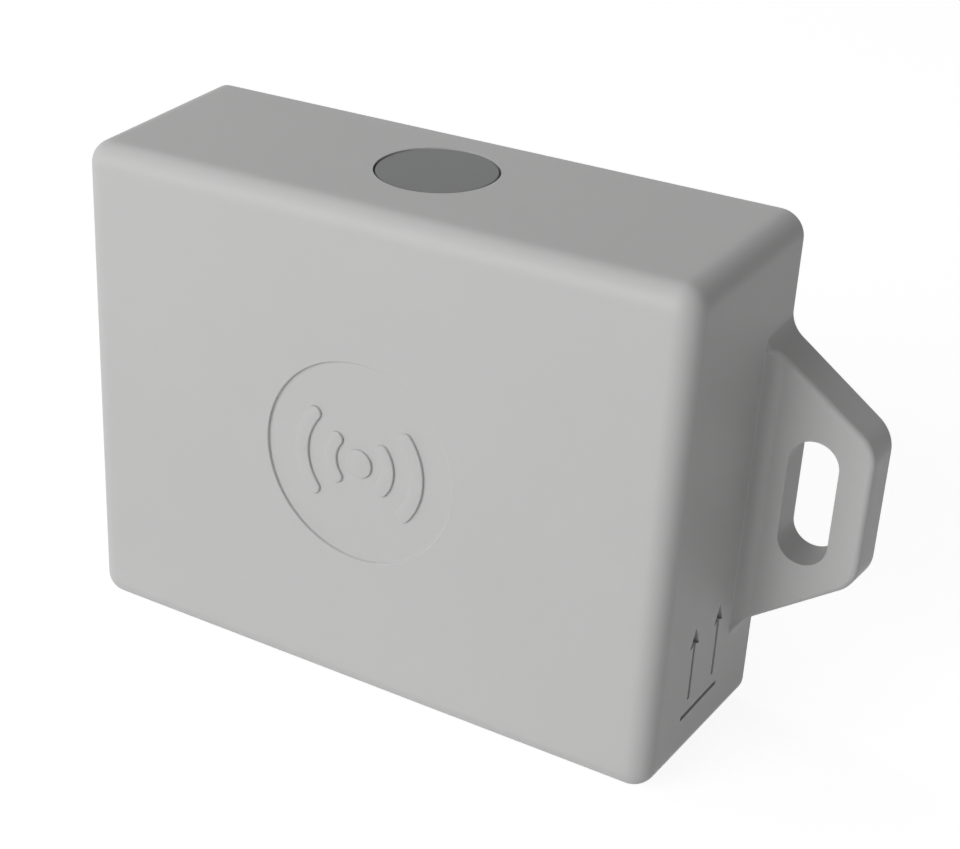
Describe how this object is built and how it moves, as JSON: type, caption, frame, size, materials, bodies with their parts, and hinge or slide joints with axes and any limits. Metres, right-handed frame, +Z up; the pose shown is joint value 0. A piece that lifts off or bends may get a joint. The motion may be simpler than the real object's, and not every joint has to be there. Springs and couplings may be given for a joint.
{
  "type": "wireless sensor tag",
  "caption": "Flat box-shaped wireless sensor tag with a round push button on top, a screwed back cover and a slotted fixing ear on each side.",
  "frame": {"origin": "middle of the bounding box's underside: under the middle of the box, in the plane of its lowest edge", "axes": "+X to the object's right as seen from the front, +Y to the back (the fixing plane), +Z up towards the button"},
  "size_m": [0.0906, 0.0224, 0.0537],
  "materials": {
    "shell_plastic": "fine moulded texture",
    "cover_plastic": "fine moulded texture",
    "gasket_rubber": "plain silicone",
    "screw_steel": "turned stainless",
    "insert_brass": "turned",
    "button_plastic": "fine moulded texture",
    "boot_rubber": "plain silicone",
    "clamp_plastic": "moulded",
    "switch_plastic": "moulded",
    "stem_plastic": "moulded",
    "board_laminate": "solder mask",
    "holder_plastic": "moulded",
    "cell_jacket": "plain shrink sleeve over steel",
    "contact_metal": "nickel plated",
    "pad_foam": "soft foam",
    "module_laminate": "solder mask",
    "can_metal": "tin plated",
    "antenna_ceramic": "plain",
    "chip_plastic": "moulded",
    "sensor_plastic": "moulded",
    "capacitor_aluminium": "drawn can on a plastic foot",
    "capacitor_ceramic": "plain"
  },
  "bodies": {
    "housing": {"case": "shell_plastic", "back_cover": "cover_plastic", "cover_gasket": "gasket_rubber", "cover_screws": "screw_steel", "thread_inserts": "insert_brass", "button_boot": "boot_rubber", "boot_clamp": "clamp_plastic", "side_switch": "switch_plastic", "circuit_board": "board_laminate", "board_screws": "screw_steel", "battery_holder": "holder_plastic", "battery_upper": "cell_jacket", "battery_lower": "cell_jacket", "battery_springs": "contact_metal", "battery_contacts": "contact_metal", "battery_pad": "pad_foam", "radio_module": "module_laminate", "shield_can": "can_metal", "chip_antenna": "antenna_ceramic", "motion_sensor": "chip_plastic", "temperature_sensor": "sensor_plastic", "magnet_sensor": "chip_plastic", "clock_crystal": "can_metal", "bulk_capacitor": "capacitor_aluminium", "small_capacitors": "capacitor_ceramic", "debug_header": "chip_plastic"},
    "button": {"button_cap": "button_plastic"},
    "stem": {"switch_stem": "stem_plastic"}
  },
  "joints": [
    {"name": "button_press", "type": "slide", "parent": "housing", "child": "button", "axis": [0, 0, -1], "range_m": [0, 0.0003], "stiffness_N_per_m": 2000, "deforming": ["button_boot"]},
    {"name": "stem_press", "type": "slide", "parent": "housing", "child": "stem", "axis": [0, 0, -1], "range_m": [0, 0.0004]}
  ],
  "couplings": [
    {"joint": "stem_press", "follows": "button_press", "ratio": 1}
  ]
}
